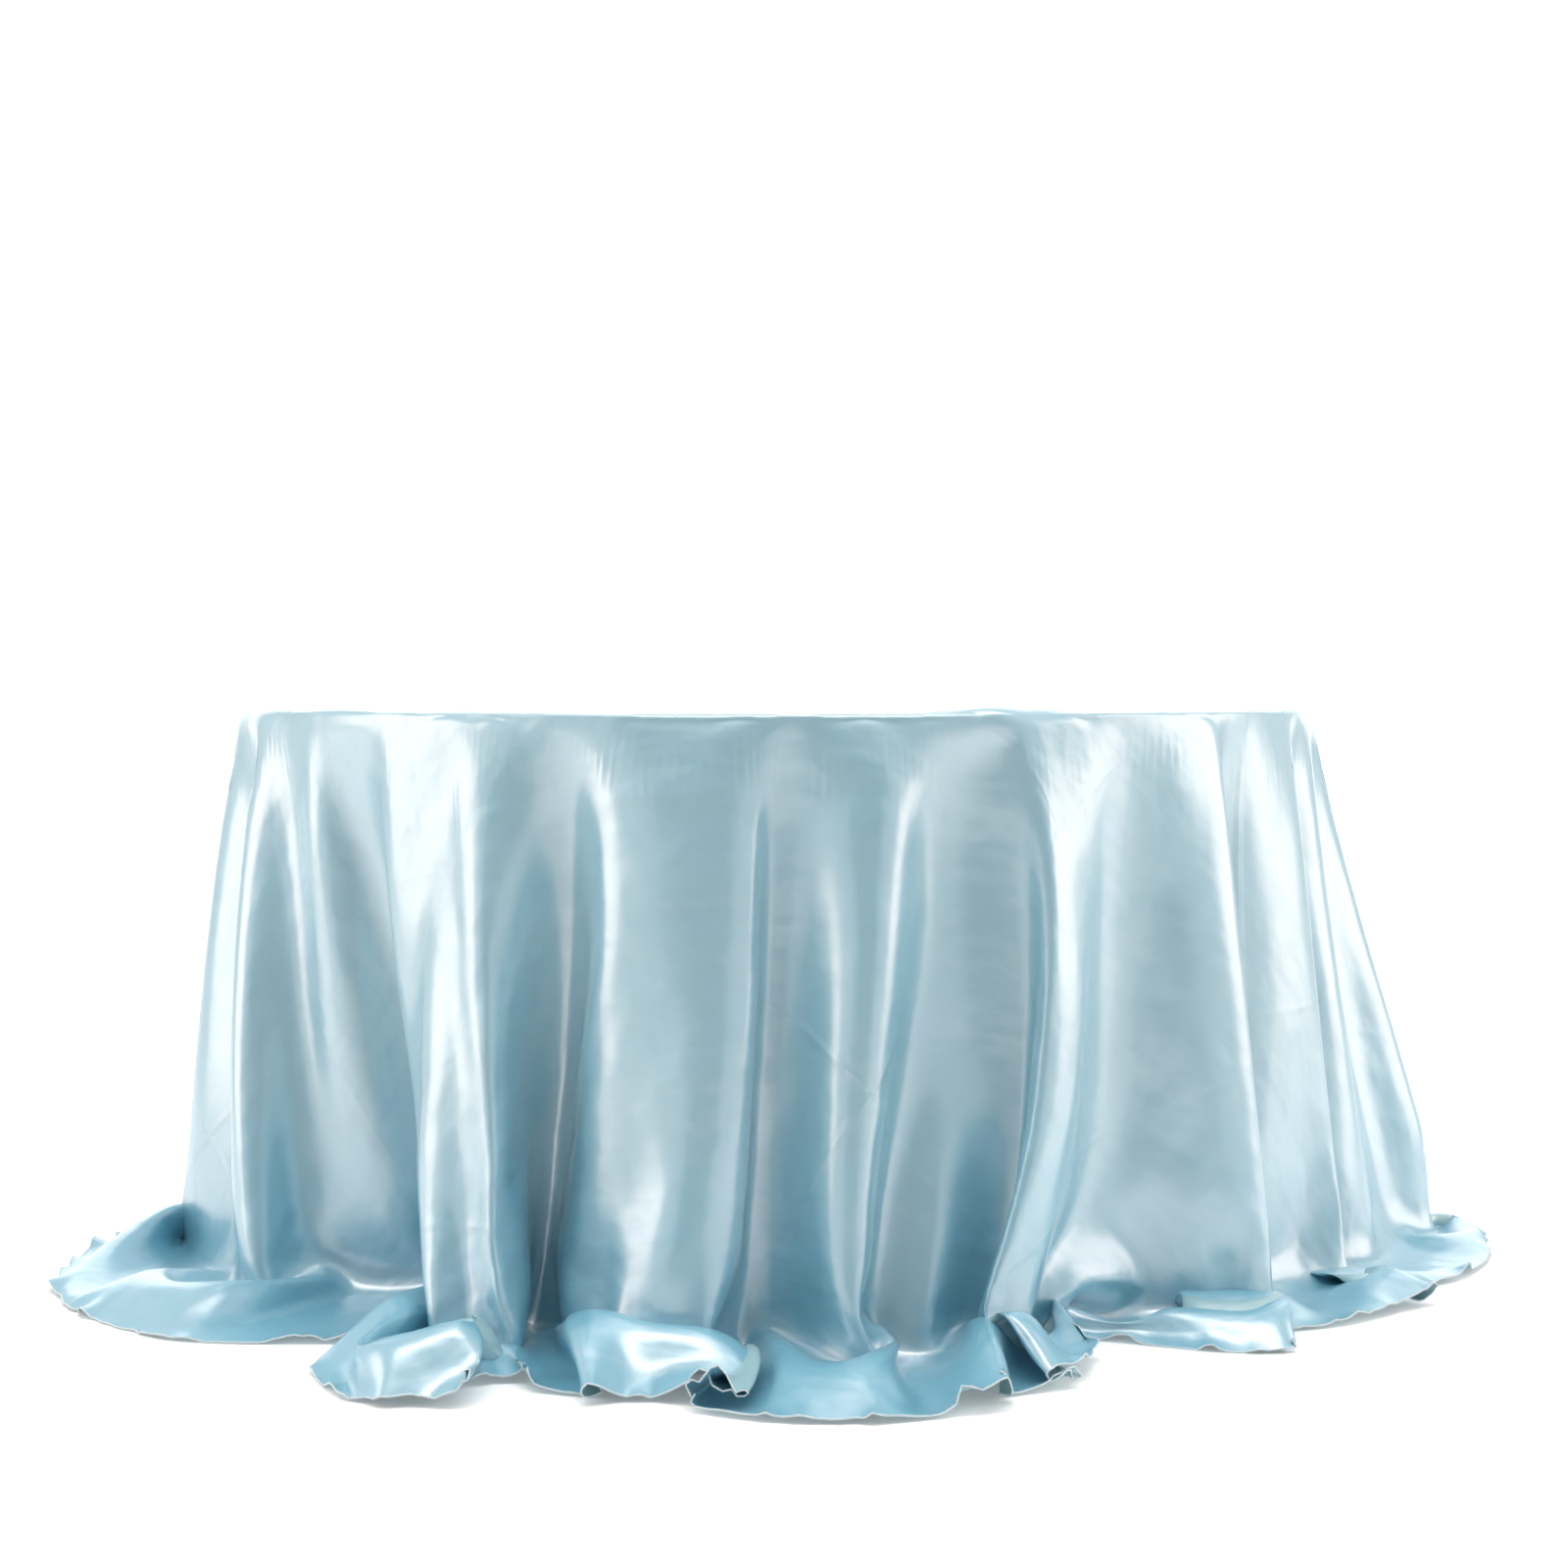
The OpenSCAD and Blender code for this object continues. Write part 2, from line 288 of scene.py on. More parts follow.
class Cloth:
    """The cloth from R_IN outwards as P[axis, ring, spoke]. Woven cloth hardly stretches, shears a little,
    and bends easily. It falls, lies on the floor with friction, hangs over the rounded rim and is kept from
    passing through itself."""

    def __init__(self, nt, rho, P, thick, laid, hung, lying):
        self.nt, self.rho, self.thick = nt, rho, thick
        self.laid = laid.astype(f32)
        self.air = (np.clip(laid[2] / 0.04, 0, 1) * lying).astype(f32)
        self.firm = np.clip(hung * 1.3 - 0.3, 0, 1).astype(f32)
        self.P = P.astype(f32)
        self.Q = self.P.copy()
        R = self.R = flat_radius(rho, nt)
        step = 2 * math.pi / nt
        self.step = step

        def apart(a, b):
            return np.sqrt(a**2 + b**2 - 2 * a * b * math.cos(step)).astype(f32)

        nxt = np.roll(R, -1, 1)
        # bias-cut folds stretch and shear into the shape they are dressed in, so the lengths lean towards it
        give = 0.85 * (1 - lying) + 0.3 * lying

        def worn(cut, a, b, share):
            return (cut + (np.linalg.norm(b - a, axis=0) - cut) * share).astype(f32)

        turned = np.roll(laid, -1, 2)
        self.l_out = worn(R[1:] - R[:-1], laid[:, :-1], laid[:, 1:], give[1:])
        self.l_round = worn(apart(R, nxt), laid, turned, give)
        self.l_diag = worn(apart(R[:-1], nxt[1:]), laid[:, :-1], turned[:, 1:], give[1:])
        self.l_anti = worn(apart(nxt[:-1], R[1:]), turned[:, :-1], laid[:, 1:], give[1:])
        self.n_held = int((rho < TABLE_R - 0.03).sum())
        self.held = self.P[:, : self.n_held].copy()
        self.w = np.where(np.arange(len(rho)) < self.n_held, 0, 1).astype(f32)[:, None]
        th = azimuths(nt)
        rim = np.stack([np.sin(th) * TABLE_R, -np.cos(th) * TABLE_R, np.full(nt, TABLE_H + LIE)])
        self.rim = rim.astype(f32)[:, None, :]
        self.s = (R - TABLE_R).astype(f32)
        self.i_rim = int(np.searchsorted(rho, TABLE_R))
        self.i_slab = int(np.searchsorted(rho, TABLE_R + 0.12))
        dr = rho[1] - rho[0]
        self.c_out = f32(1 / dr**2)
        self.c_skew = (1 / (2 * dr * rho)).astype(f32)[:, None]
        self.c_round = (1 / (rho * step) ** 2).astype(f32)[:, None]

    @staticmethod
    def hold(a, b, length, wa, wb, k):
        """Moves each pair of points a share k of the way to its length apart."""
        d = b - a
        dist = np.sqrt(np.einsum("kij,kij->ij", d, d)) + f32(1e-9)
        w = wa + wb
        f = (dist - length) / dist * f32(k) / np.where(w > 0, w, 1)
        a += (wa * f)[None] * d
        b -= (wb * f)[None] * d

    def weave(self):
        """Holds the threads at their lengths, and the diagonals between them more loosely."""
        P, hold = self.P, self.hold
        nr, nt = len(self.rho), self.nt
        w = np.broadcast_to(self.w, (nr, nt))
        L = self.l_round
        hold(P[:, :, 0::2], P[:, :, 1::2], L[:, 0::2], w[:, 0::2], w[:, 1::2], 1)
        hold(P[:, :, 1:-1:2], P[:, :, 2::2], L[:, 1:-1:2], w[:, 1:-1:2], w[:, 2::2], 1)
        hold(P[:, :, -1:], P[:, :, :1], L[:, -1:], w[:, -1:], w[:, :1], 1)
        for o in (0, 1):
            n = (nr - o) // 2
            a, b = P[:, o : nr - 1 : 2][:, :n], P[:, o + 1 : nr : 2][:, :n]
            wa, wb = w[o : nr - 1 : 2][:n], w[o + 1 : nr : 2][:n]
            D, A, out = self.l_diag[o::2][:n], self.l_anti[o::2][:n], self.l_out[o::2][:n]
            hold(a[:, :, :-1], b[:, :, 1:], D[:, :-1], wa[:, 1:], wb[:, 1:], SHEAR_HOLD)
            hold(a[:, :, -1:], b[:, :, :1], D[:, -1:], wa[:, :1], wb[:, :1], SHEAR_HOLD)
            hold(a[:, :, 1:], b[:, :, :-1], A[:, :-1], wa[:, 1:], wb[:, 1:], SHEAR_HOLD)
            hold(a[:, :, :1], b[:, :, -1:], A[:, -1:], wa[:, :1], wb[:, :1], SHEAR_HOLD)
            hold(a, b, out, wa, wb, 1)

    def bending(self, stiff):
        """Acceleration that flattens the cloth; stiff is bending stiffness over weight, in m4/s2."""
        P, out, skew, rnd = self.P, self.c_out, self.c_skew[1:-1], self.c_round[1:-1]
        mid = P[:, 1:-1]
        lap = (P[:, 2:] - 2 * mid + P[:, :-2]) * out + (P[:, 2:] - P[:, :-2]) * skew
        lap += (np.roll(mid, -1, 2) + np.roll(mid, 1, 2) - 2 * mid) * rnd
        G = np.zeros_like(P)
        G[:, 2:] += lap * (out + skew)
        G[:, :-2] += lap * (out - skew)
        G[:, 1:-1] += (np.roll(lap, -1, 2) + np.roll(lap, 1, 2) - 2 * lap) * rnd - 2 * lap * out
        return G * f32(-stiff)

    def touch(self, grip):
        """Keeps the cloth on the floor, with friction, and outside the table top's rounded slab."""
        lie = f32(LIE)
        x, y, z = self.P
        low = z < lie
        z[low] = lie
        keep = f32(1 - grip)
        for v, q in ((x, self.Q[0]), (y, self.Q[1])):
            v[low] = q[low] + (v[low] - q[low]) * keep
        push_off_table(self.P[:, : self.i_slab], LIE)

    def hang(self):
        """No point is farther from the rim than the cloth between them is long, with a little to spare."""
        k = self.i_rim
        d = self.P[:, k:] - self.rim
        dist = np.sqrt(np.einsum("kij,kij->ij", d, d)) + f32(1e-9)
        self.P[:, k:] = self.rim + d * np.minimum((self.s[k:] * f32(1.004) + f32(0.004)) / dist, 1)

    def find_pairs(self):
        """Finds points that have come close together but lie apart on the cloth. They are sorted into cells,
        and up to 8 points of each neighbouring cell are looked at."""
        k0, reach = self.i_rim, self.thick * 1.6
        X = self.P[:, k0:].reshape(3, -1)
        n = X.shape[1]
        cell = np.floor(X / f32(reach)).astype(np.int64) + CELLS // 2
        key = (cell[0] * CELLS + cell[1]) * CELLS + cell[2]
        order = np.argsort(key, kind="stable")
        ranked = key[order]
        near = [(a, b, c) for a in (-1, 0, 1) for b in (-1, 0, 1) for c in (-1, 0, 1)]
        found_a, found_b = [], []
        for o in [c for c in near if c >= (0, 0, 0)]:
            want = key + (o[0] * CELLS + o[1]) * CELLS + o[2]
            lo, hi = np.searchsorted(ranked, want, "left"), np.searchsorted(ranked, want, "right")
            for more in range(8):
                a = np.nonzero(lo + more < hi)[0]
                if not len(a):
                    break
                b = order[lo[a] + more]
                if o == (0, 0, 0):
                    a, b = a[a < b], b[a < b]
                found_a.append(a)
                found_b.append(b)
        a, b = np.concatenate(found_a), np.concatenate(found_b)
        R = self.R[k0:].ravel()
        between = (a % self.nt - b % self.nt) * self.step
        flat2 = R[a] ** 2 + R[b] ** 2 - 2 * R[a] * R[b] * np.cos(between)
        close = ((X[:, a] - X[:, b]) ** 2).sum(0) < reach**2
        m = close & (flat2 > (self.thick * 2.2) ** 2)
        self.pairs = a[m] + k0 * self.nt, b[m] + k0 * self.nt

    def keep_apart(self):
        """Pushes the pairs a cloth's thickness apart, with friction."""
        a, b = self.pairs
        F, Q = self.P.reshape(3, -1), self.Q.reshape(3, -1)
        d = F[:, a] - F[:, b]
        dist = np.sqrt((d * d).sum(0)) + f32(1e-9)
        m = dist < self.thick
        if not m.any():
            return
        a, b, d, dist = a[m], b[m], d[:, m], dist[m]
        n = d / dist
        slip = (F[:, a] - Q[:, a]) - (F[:, b] - Q[:, b])
        slip -= n * (slip * n).sum(0)
        push = n * (self.thick - dist) * f32(0.5) - slip * f32(0.5 * CONTACT_GRIP)
        size = F.shape[1]
        count = np.maximum(np.bincount(a, minlength=size) + np.bincount(b, minlength=size), 1)
        for c in range(3):
            total = np.bincount(a, push[c], size) - np.bincount(b, push[c], size)
            F[c] += (total / count).astype(f32)

    def settle(self, steps, dt, stiff, damp, grip, hands=(0, 0), pair_every=12):
        """Lets it fall for some steps. The hands hold the folds where they were laid, less and less
        firmly."""
        gravity = np.array([0, 0, -GRAVITY], f32)[:, None, None]
        for n in range(steps):
            V = (self.P - self.Q) * f32(1 - damp * dt)
            A = self.bending(stiff) + gravity
            k = hands[0] + (hands[1] - hands[0]) * min(1, n / (0.8 * steps))
            if k > 0:
                A[:2] += (self.laid[:2] - self.P[:2]) * (self.firm * f32(k))
                A[2] += np.clip(self.laid[2] - self.P[2], 0, 0.04) * (self.air * f32(5 * k))
            V += A * f32(dt * dt)
            np.clip(V, -MAX_MOVE, MAX_MOVE, out=V)
            self.Q = self.P.copy()
            self.P += V * self.w
            self.weave()
            if n % pair_every == 0:
                self.find_pairs()
            self.keep_apart()
            self.hang()
            self.touch(grip)
            self.P[:, : self.n_held] = self.held


def resample(P, rho, rho_new, nt_new):
    """The grid on other rings and spokes, by cubic interpolation."""

    def cubic(p, t):
        a, b, c, d = p
        return b + 0.5 * t * (c - a + t * (2 * a - 5 * b + 4 * c - d + t * (3 * (b - c) + d - a)))

    nt = P.shape[2]
    along = np.arange(nt_new) * nt / nt_new
    j = np.floor(along).astype(int)
    M = cubic([P[:, :, (j + k) % nt] for k in (-1, 0, 1, 2)], along - j)
    u = np.clip((rho_new - rho[0]) / (rho[1] - rho[0]), 0, len(rho) - 1)
    i = np.minimum(np.floor(u).astype(int), len(rho) - 2)
    return cubic([M[:, np.clip(i + k, 0, len(rho) - 1)] for k in (-1, 0, 1, 2)], (u - i)[:, None])


# A coarse cloth falls under firm hands and with little friction, then settles with more. A finer one
# starts from there.
rough_rho = np.linspace(R_IN, RC, 49)
laid = start_shape(480, rough_rho)
cloth = Cloth(480, rough_rho, laid[0], 0.012, *laid)
cloth.settle(1100, 1 / 900, 3e-4, 3.0, 0.05, hands=(240, 120))
cloth.settle(400, 1 / 900, 3e-4, 4.0, 0.5, hands=(120, 80))

SPOKES = 1200
fine_rho = np.linspace(R_IN, RC, 73)
laid = start_shape(960, fine_rho)
fine = Cloth(960, fine_rho, resample(cloth.P, rough_rho, fine_rho, 960), 0.010, *laid)
fine.settle(500, 1 / 1200, 1.5e-4, 8.0, 0.5, hands=(80, 60), pair_every=8)
P = fine.P

# ---- the finished cloth mesh ----

# Rings lie closer together over the rim, which is rounded tightly, and at the hem
near_rim = [0.70, 0.735, 0.752, 0.7575, 0.7598, 0.7612, 0.7626, 0.764, 0.766, 0.769, 0.774, 0.782, 0.792]
near_hem = [RC - d for d in (0.040, 0.028, 0.019, 0.012, 0.006, 0.0)]
rings = np.concatenate([near_rim, np.linspace(0.805, RC - 0.054, 55), near_hem])
G = resample(np.asarray(P, float), fine_rho, rings, SPOKES)
# handling rounds off the sharpest turns where the cloth lies on the floor
loose = np.clip((rings - TABLE_R - HANG * 0.9) / 0.08, 0, 1)[None, :, None]
for _ in range(4):
    soft = (np.roll(G, 1, 2) + 2 * G + np.roll(G, -1, 2)) / 4
    soft[:, 1:-1] = (soft[:, 2:] + 2 * soft[:, 1:-1] + soft[:, :-2]) / 4
    G += (soft - G) * loose
push_off_table(G[:, :20], 0.0016)
R_FLAT = flat_radius(rings, SPOKES)
theta = azimuths(SPOKES)


def normals(G):
    along = np.gradient(G, axis=1)
    around = np.roll(G, -1, 2) - np.roll(G, 1, 2)
    n = np.cross(along, around, axis=0)
    return n / (np.linalg.norm(n, axis=0) + 1e-12)


# The rolled hem draws up the edge into small uneven scallops that curl off the floor
rng = np.random.default_rng(11)
scallop = np.zeros(SPOKES)
waves = np.arange(SPOKES // 2 + 1)
for wavelength, height in ((0.17, 0.0028), (0.095, 0.0030), (0.055, 0.0026), (0.034, 0.0018)):
    cycles = round(2 * math.pi * RC / wavelength)
    band = (waves > 0.75 * cycles) & (waves < 1.3 * cycles)
    phases = np.exp(2j * math.pi * rng.random(len(waves)))
    spread = np.fft.irfft(np.where(band, phases, 0), SPOKES)
    scallop += height * spread / spread.std()
fade = np.exp(-((rings[-1] - rings) / 0.018) ** 1.3)[:, None]
G += normals(G) * (scallop * fade)[None]
lift = 0.003 * (1 + np.sin(theta * 9 + 1.3) * np.cos(theta * 5 - 0.4)) + np.maximum(-scallop, 0)
G[2] += lift * fade
G[2] = np.maximum(G[2], LIE)


def make_object(name, verts, faces, smooth=True):
    mesh = bpy.data.meshes.new(name)
    mesh.from_pydata(verts, [], faces)
    mesh.update()
    mesh.polygons.foreach_set("use_smooth", [smooth] * len(mesh.polygons))
    obj = bpy.data.objects.new(name, mesh)
    scene.collection.objects.link(obj)
    return obj


def ring_quads(rows, n):
    """Faces between the rings of a grid with n points to a ring."""
    j = np.arange(n)
    i = np.arange(rows - 1)[:, None]
    a, b = i * n + j, i * n + (j + 1) % n
    return np.stack([a, a + n, b + n, b], -1).reshape(-1, 4).tolist()


def set_flat_uv(obj, uv):
    """Stores a place in metres for every point, for the materials to use."""
    corners = np.empty(len(obj.data.loops), np.int32)
    obj.data.loops.foreach_get("vertex_index", corners)
    layer = obj.data.uv_layers.new(name="flat")
    layer.data.foreach_set("uv", np.asarray(uv, f32)[corners].ravel())


verts = G.reshape(3, -1).T
flat_uv = np.stack([R_FLAT * np.sin(theta), -R_FLAT * np.cos(theta)], -1).reshape(-1, 2)
faces = ring_quads(len(rings), SPOKES)
# towards the middle every second spoke ends at each ring
outer_start, n = 0, SPOKES
verts, flat_uv = verts.tolist(), flat_uv.tolist()
for radius in (0.60, 0.48, 0.34, 0.18):
    m = n // 2
    start = len(verts)
    for k in range(m):
        t = -math.pi + 2 * math.pi * k / m
        p = (radius * math.sin(t), -radius * math.cos(t))
        verts.append((*p, TABLE_H + LIE))
        flat_uv.append(p)
    o = outer_start
    for k in range(m):
        inner = [start + (k + 1) % m, start + k]
        faces.append([o + 2 * k, o + (2 * k + 1) % n, o + (2 * k + 2) % n, *inner])
    outer_start, n = start, m
faces.append([outer_start + k for k in range(n)])

tablecloth = make_object("tablecloth_satin", verts, faces)
set_flat_uv(tablecloth, flat_uv)

# ---- the rolled hem: a thin cord of thread round the edge ----

edge = G[:, -1].T
tangent = np.roll(edge, -1, 0) - np.roll(edge, 1, 0)
tangent /= np.linalg.norm(tangent, axis=1)[:, None]
outward = edge - G[:, -2].T
outward -= tangent * (outward * tangent).sum(1)[:, None]
outward /= np.linalg.norm(outward, axis=1)[:, None]
up = np.cross(tangent, outward)
SIDES, HEM_RAD = 6, HEM_W / 2
hem_verts = []
middle = edge + outward * HEM_RAD * 0.7
middle[:, 2] = np.maximum(middle[:, 2], HEM_RAD + 0.0002)
for k in range(SIDES):
    t = 2 * math.pi * k / SIDES
    hem_verts.append(middle + (outward * math.cos(t) + up * math.sin(t)) * HEM_RAD)
hem_verts = np.stack(hem_verts, 0)
hem_faces = []
after = [(j + 1) % SPOKES for j in range(SPOKES)]
for k in range(SIDES):
    a, b = k * SPOKES, ((k + 1) % SIDES) * SPOKES
    hem_faces += [[a + j, a + after[j], b + after[j], b + j] for j in range(SPOKES)]
hem = make_object("rolled_hem_thread", hem_verts.reshape(-1, 3).tolist(), hem_faces)
point = np.arange(SIDES * SPOKES)
along_hem = (point % SPOKES) / SPOKES * 2 * math.pi * RC
round_cord = (point // SPOKES) / SIDES * 0.01
set_flat_uv(hem, np.stack([along_hem, round_cord], -1))

for obj, node, slot in ((tablecloth, "tablecloth", "satin"), (hem, "rolled_hem", "hem_thread")):
    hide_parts(node)
    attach(obj, "cloth")

# ---- materials ----


class Nodes:
    """A material's node tree, with short ways to add and join nodes."""

    def __init__(self, name):
        self.mat = bpy.data.materials.new(name)
        self.mat.use_nodes = True
        self.tree = self.mat.node_tree
        self.bsdf = self.tree.nodes["Principled BSDF"]

    def add(self, kind, ins=(), **props):
        node = self.tree.nodes.new(kind)
        for k, v in props.items():
            setattr(node, k, v)
        for k, v in dict(ins).items():
            self.put(node.inputs[k], v)
        return node

    def put(self, socket, value):
        if isinstance(value, bpy.types.NodeSocket):
            self.tree.links.new(value, socket)
        else:
            socket.default_value = value

    def set(self, **values):
        for k, v in values.items():
            self.put(self.bsdf.inputs[k.replace("_", " ")], v)

    def math(self, op, a, b):
        node = self.add("ShaderNodeMath", operation=op)
        self.put(node.inputs[0], a)
        self.put(node.inputs[1], b)
        return node.outputs[0]

    def noise(self, vector, scale, detail=3.0, rough=0.5):
        ins = {"Vector": vector, "Scale": scale, "Detail": detail, "Roughness": rough}
        return self.add("ShaderNodeTexNoise", ins).outputs["Fac"]

    def remap(self, value, a, b, c, d):
        ins = {"Value": value, "From Min": a, "From Max": b, "To Min": c, "To Max": d}
        return self.add("ShaderNodeMapRange", ins).outputs[0]

    def mix(self, fac, a, b):
        node = self.add("ShaderNodeMix", data_type="RGBA")
        self.put(node.inputs["Factor"], fac)
        self.put(node.inputs[6], a)
        self.put(node.inputs[7], b)
        return node.outputs[2]

    def stretch(self, vector, x, y, z=1.0, turn=0.0):
        ins = {"Vector": vector, "Scale": (x, y, z), "Rotation": (0, 0, turn)}
        return self.add("ShaderNodeMapping", ins).outputs[0]

    def bump(self, height, strength, distance, normal=None):
        ins = {"Height": height, "Strength": strength, "Distance": distance}
        if normal is not None:
            ins["Normal"] = normal
        return self.add("ShaderNodeBump", ins).outputs[0]


def satin():
    """Polyester satin: smooth long floats that shine white over a pale blue, a dull reverse, a fine weave,
    soft handling wrinkles and the packing folds. Towards the hem the blue is painted deeper: painted shade
    standing in for the floor's blue bounce light and the weaker sheen low down."""
    m = Nodes("satin_pale_blue")
    flat = m.add("ShaderNodeUVMap", uv_map="flat").outputs[0]
    # painted shade: the second colour is a deeper, bluer tone mixed in from 1.2 to 1.6 m out on the flat
    # cloth. It paints the lower skirt and the puddle on the floor as if lit by the floor's bounce light with
    # less sheen. The third colour is the duller reverse.
    face, painted_shade_blue, back = (0.225, 0.455, 0.55, 1), (0.155, 0.455, 0.60, 1), (0.30, 0.53, 0.58, 1)
    tone = m.remap(m.noise(flat, 2.2, 2.0), 0.35, 0.65, -0.15, 0.15)
    out = m.add("ShaderNodeVectorMath", {"Vector": flat}, operation="LENGTH").outputs["Value"]
    colour = m.mix(m.math("ADD", tone, m.remap(out, 1.2, 1.6, 0.0, 1.0)), face, painted_shade_blue)
    side = m.add("ShaderNodeNewGeometry").outputs["Backfacing"]
    m.set(Base_Color=m.mix(side, colour, back))
    slub = m.noise(m.stretch(flat, 6, 260), 1.0, 3.0)
    drag = m.noise(m.stretch(flat, 2.6, 17, turn=0.75), 1.0, 2.0, 0.4)
    cross = m.noise(m.stretch(flat, 18, 3.5, turn=0.3), 1.0, 2.0, 0.4)
    grain = m.noise(m.stretch(flat, 5, 60, turn=0.6), 1.0, 3.0)
    m.set(Roughness=m.mix(side, m.remap(grain, 0.3, 0.7, 0.36, 0.46), (0.62, 0.62, 0.62, 1)))
    m.set(Metallic=0.0, IOR=2.3, Sheen_Weight=0.05, Sheen_Roughness=0.4)
    m.bsdf.inputs["Sheen Tint"].default_value = (0.9, 0.97, 1.0, 1)
    m.set(Coat_Weight=1.0, Coat_Roughness=0.25, Coat_IOR=2.5)
    # packing folds: faint straight lines on a square grid, ironed out in places
    split = m.add("ShaderNodeSeparateXYZ", {"Vector": m.stretch(flat, 1, 1, turn=0.5)})
    creases = []
    for k in (0, 1):
        away = m.math("PINGPONG", m.math("ADD", split.outputs[k], 0.11), 0.21)
        creases.append(m.remap(away, 0.0, 0.008, 1.0, 0.0))
    crease = m.math("MAXIMUM", *creases)
    worn = m.remap(m.noise(flat, 1.7, 1.0), 0.40, 0.65, 0.0, 1.0)
    wrinkle = m.noise(m.stretch(flat, 5, 7), 1.0, 3.0, 0.5)
    fine = m.noise(m.stretch(flat, 20, 26, turn=0.5), 1.0, 2.0, 0.5)
    n = m.bump(wrinkle, 0.5, 0.045)
    n = m.bump(drag, 0.4, 0.011, n)
    n = m.bump(cross, 0.3, 0.006, n)
    n = m.bump(fine, 0.3, 0.008, n)
    n = m.bump(m.math("MULTIPLY", crease, worn), 0.6, 0.003, n)
    n = m.bump(slub, 0.2, 0.0010, n)
    m.set(Normal=n)
    return m.mat


def hem_thread():
    m = Nodes("hem_thread")
    flat = m.add("ShaderNodeUVMap", uv_map="flat").outputs[0]
    ins = {"Vector": m.stretch(flat, 1, 1, turn=0.5), "Scale": 110.0, "Distortion": 0.6}
    stitches = m.add("ShaderNodeTexWave", ins).outputs["Fac"]
    m.set(Base_Color=m.mix(stitches, (0.62, 0.78, 0.84, 1), (0.82, 0.92, 0.95, 1)))
    m.set(Roughness=0.55, Sheen_Weight=0.4)
    m.set(Normal=m.bump(stitches, 0.8, 0.0006))
    return m.mat


def plywood():
    m = Nodes("birch_plywood")
    where = m.add("ShaderNodeTexCoord").outputs["Object"]
    grain = m.noise(m.stretch(where, 3, 42, 42), 1.0, 5.0, 0.6)
    figure = m.noise(m.stretch(where, 1.2, 9, 9), 1.0, 3.0)
    colour = m.mix(m.remap(grain, 0.3, 0.7, 0, 1), (0.50, 0.33, 0.17, 1), (0.70, 0.52, 0.31, 1))
    colour = m.mix(m.remap(figure, 0.4, 0.7, 0, 0.5), colour, (0.42, 0.26, 0.12, 1))
    m.set(Base_Color=colour, Roughness=m.remap(grain, 0.3, 0.7, 0.5, 0.38))
    m.set(Normal=m.bump(grain, 0.15, 0.0006))
    return m.mat


def vinyl():
    m = Nodes("vinyl_band")
    where = m.add("ShaderNodeTexCoord").outputs["Object"]
    pebble = m.noise(where, 700.0, 2.0)
    m.set(Base_Color=(0.055, 0.045, 0.035, 1), Roughness=m.remap(pebble, 0.3, 0.7, 0.42, 0.55))
    m.set(Normal=m.bump(pebble, 0.2, 0.0003))
    return m.mat


def powder_coat():
    m = Nodes("grey_powder_coat")
    where = m.add("ShaderNodeTexCoord").outputs["Object"]
    hammer = m.noise(where, 260.0, 2.0, 0.4)
    spot = m.remap(hammer, 0.35, 0.65, 0, 1)
    m.set(Base_Color=m.mix(spot, (0.035, 0.037, 0.042, 1), (0.055, 0.058, 0.065, 1)))
    m.set(Roughness=0.38, Metallic=0.3, Normal=m.bump(hammer, 0.35, 0.0006))
    return m.mat


def zinc():
    m = Nodes("zinc_plate")
    where = m.add("ShaderNodeTexCoord").outputs["Object"]
    spangle = m.noise(where, 180.0, 3.0)
    spot = m.remap(spangle, 0.35, 0.65, 0, 1)
    m.set(Base_Color=m.mix(spot, (0.50, 0.51, 0.52, 1), (0.66, 0.66, 0.64, 1)))
    m.set(Metallic=1.0, Roughness=m.remap(spangle, 0.3, 0.7, 0.28, 0.42))
    return m.mat


def rubber():
    m = Nodes("black_rubber")
    where = m.add("ShaderNodeTexCoord").outputs["Object"]
    m.set(Base_Color=(0.012, 0.012, 0.012, 1), Roughness=0.7)
    m.set(Normal=m.bump(m.noise(where, 400.0), 0.2, 0.0004))
    return m.mat


tablecloth.data.materials.append(satin())
hem.data.materials.append(hem_thread())
FINISH = {
    "plywood": plywood(),
    "vinyl": vinyl(),
    "painted_steel": powder_coat(),
    "zinc_steel": zinc(),
    "rubber": rubber(),
}
for part in frame["record"]["subparts"]:
    if part["material_slot"] in FINISH:
        node = frame["nodes"][part["node"]]
        node.data.materials.clear()
        node.data.materials.append(FINISH[part["material_slot"]])

# ---- camera: a long lens at table height, tilted down a little ----

cam_data = bpy.data.cameras.new("camera")
camera = bpy.data.objects.new("camera", cam_data)
scene.collection.objects.link(camera)
camera.location = (0.012, -3.80, 0.785)
camera.rotation_euler = (math.radians(90 - 2.2), 0, 0)
cam_data.lens, cam_data.sensor_width = 59.3, 36
scene.camera = camera

# ---- floor, backdrop and lights ----


def plain(name, colour, rough=0.9, glow=0.0):
    m = Nodes(name)
    m.set(Base_Color=(*colour, 1), Roughness=rough)
    if glow:
        m.set(Emission_Color=(*colour, 1), Emission_Strength=glow)
    return m.mat


def card(name, size, place, aim, material):
    """A flat rectangle facing a point."""
    w, h = size[0] / 2, size[1] / 2
    obj = make_object(name, [(-w, -h, 0), (w, -h, 0), (w, h, 0), (-w, h, 0)], [[0, 1, 2, 3]], smooth=False)
    obj.location = place
    obj.rotation_euler = (Vector(aim) - Vector(place)).to_track_quat("Z", "Y").to_euler()
    obj.data.materials.append(material)
    return obj


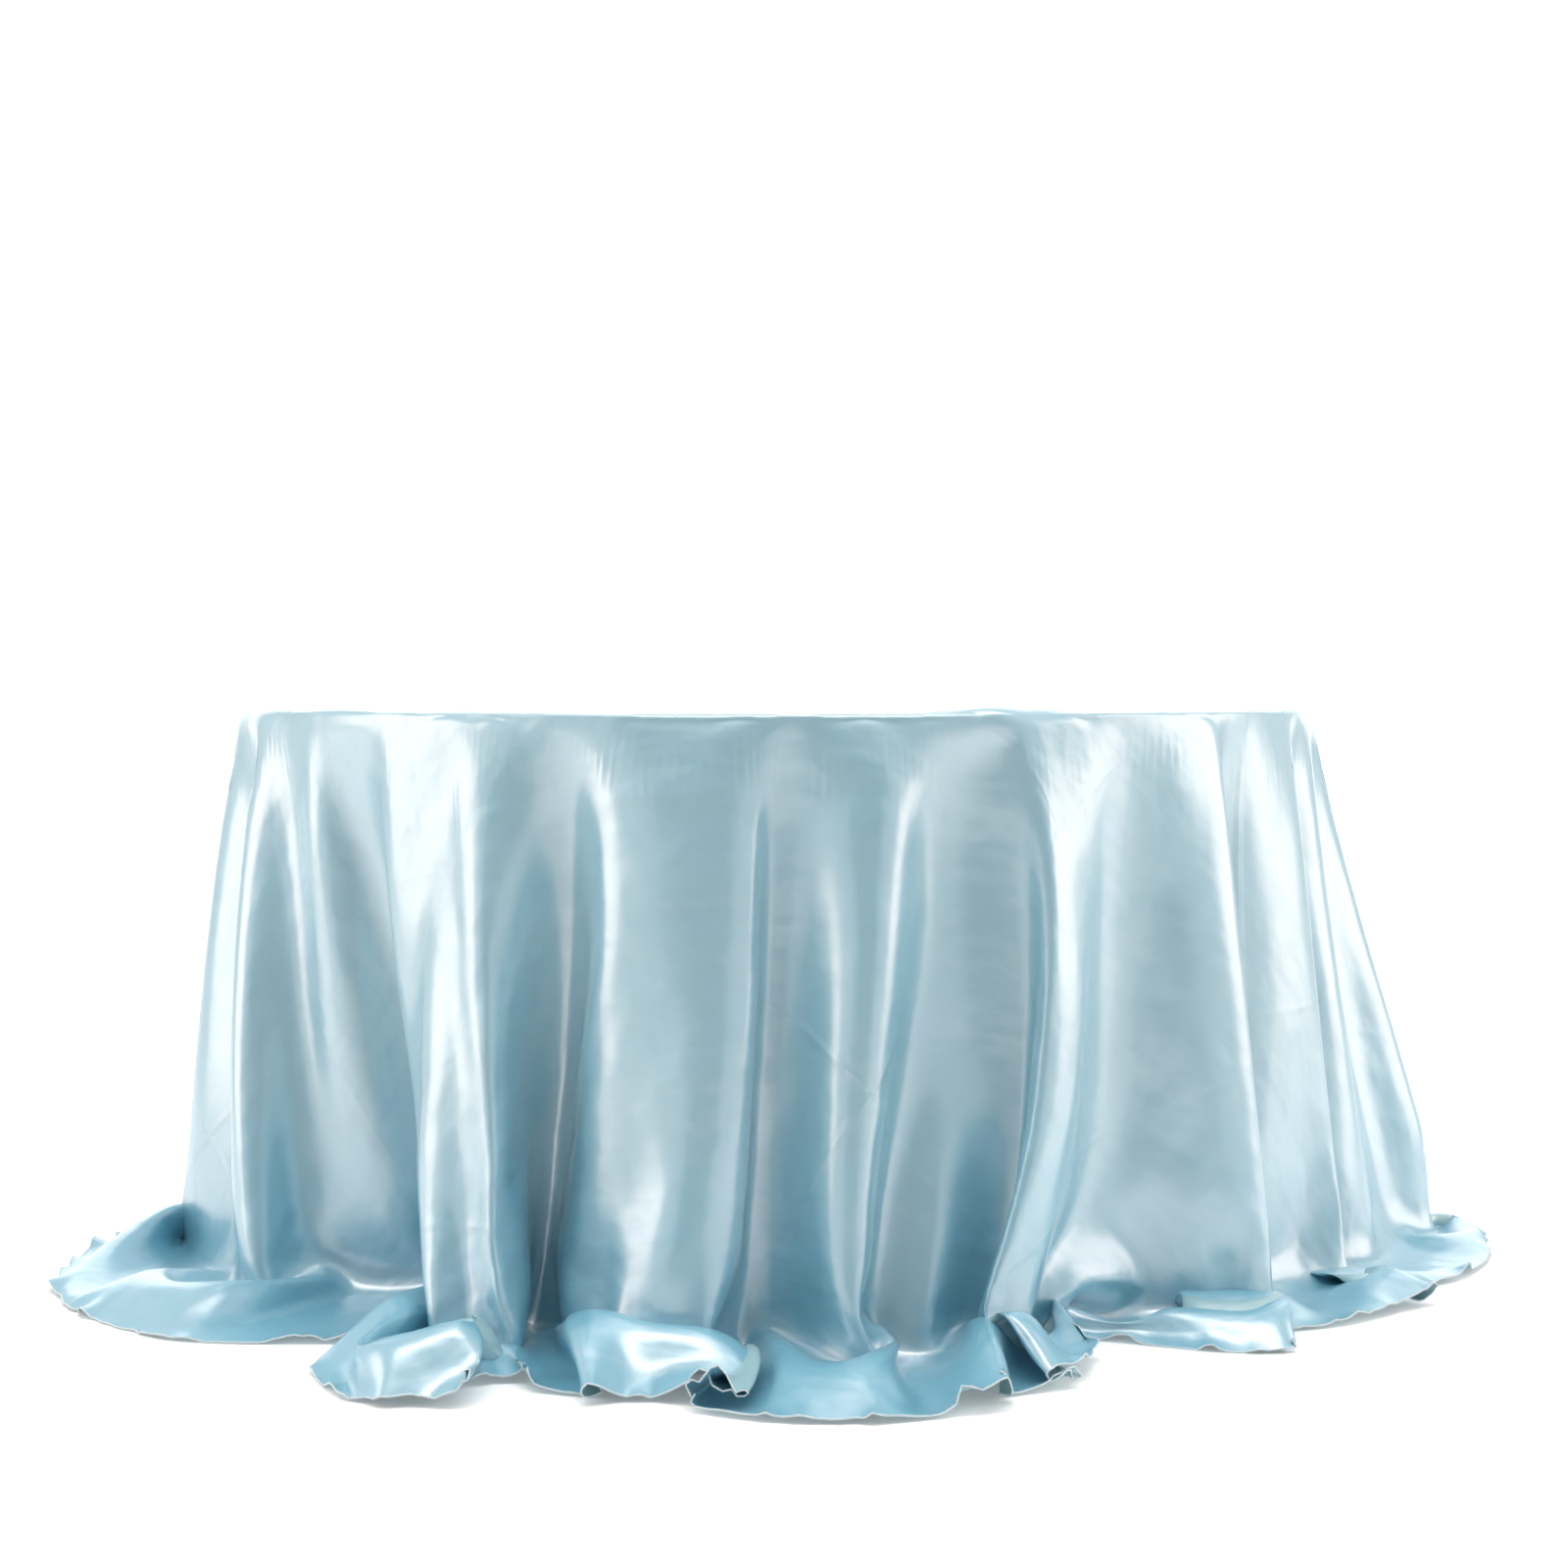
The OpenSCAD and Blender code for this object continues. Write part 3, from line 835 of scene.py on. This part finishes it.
floor_white = plain("floor_white", (0.93, 0.93, 0.93), glow=0.15)
card("floor", (20, 20), (0, 0, 0), (0, 0, 1), floor_white)
backdrop_white = plain("backdrop_white", (1, 1, 1), glow=0.9)
card("backdrop", (11, 12), (0, 7, 3), (0, 0, 3), backdrop_white)
# a dim grey card behind the camera, which darkens what the satin mirrors from that side
room_grey = plain("room_grey", (0.2, 0.2, 0.2), glow=0.40)
dark = card("dark_room", (7.0, 5.0), (0, -5.8, 2.0), (0, 0, 0.5), room_grey)
dark.visible_camera = False
# white all round for the other camera angles, seen only by the camera
for k in range(8):
    t = math.radians(45 * k)
    place = (13 * math.sin(t), -13 * math.cos(t), 5)
    wall = card(f"surround_{k}", (12, 16), place, (0, 0, 5), backdrop_white)
    wall.visible_diffuse = wall.visible_glossy = wall.visible_transmission = wall.visible_shadow = False


def softbox(name, size, power, place, aim=(0, 0, 0.45), colour=(1, 1, 1)):
    data = bpy.data.lights.new(name, "AREA")
    data.shape, data.size, data.size_y = "RECTANGLE", size[0], size[1]
    data.energy, data.color = power, colour
    obj = bpy.data.objects.new(name, data)
    obj.location = place
    obj.rotation_euler = (Vector(aim) - Vector(place)).to_track_quat("-Z", "Y").to_euler()
    scene.collection.objects.link(obj)
    return obj


# Warm boxes light the sides. The top one is left out of the gloss, and a narrow strip gives the folds'
# crests their highlights instead.
softbox("softbox_left", (2.6, 3.0), 51, (-3.9, -0.9, 1.7), colour=(1.0, 0.84, 0.76))
softbox("softbox_right", (2.6, 3.0), 51, (3.9, -0.3, 1.7), colour=(1.0, 0.84, 0.76))
softbox("softbox_top", (4, 3), 50, (0, -0.6, 3.6)).visible_glossy = False
softbox("softbox_strip", (3.0, 0.7), 34, (0, -1.0, 3.2), colour=(1.0, 0.96, 0.92))

world = bpy.data.worlds.new("studio")
scene.world = world
world.use_nodes = True
world.node_tree.nodes["Background"].inputs["Color"].default_value = (0.97, 0.99, 1.0, 1)
world.node_tree.nodes["Background"].inputs["Strength"].default_value = 0.71
scene.view_settings.view_transform = "Standard"
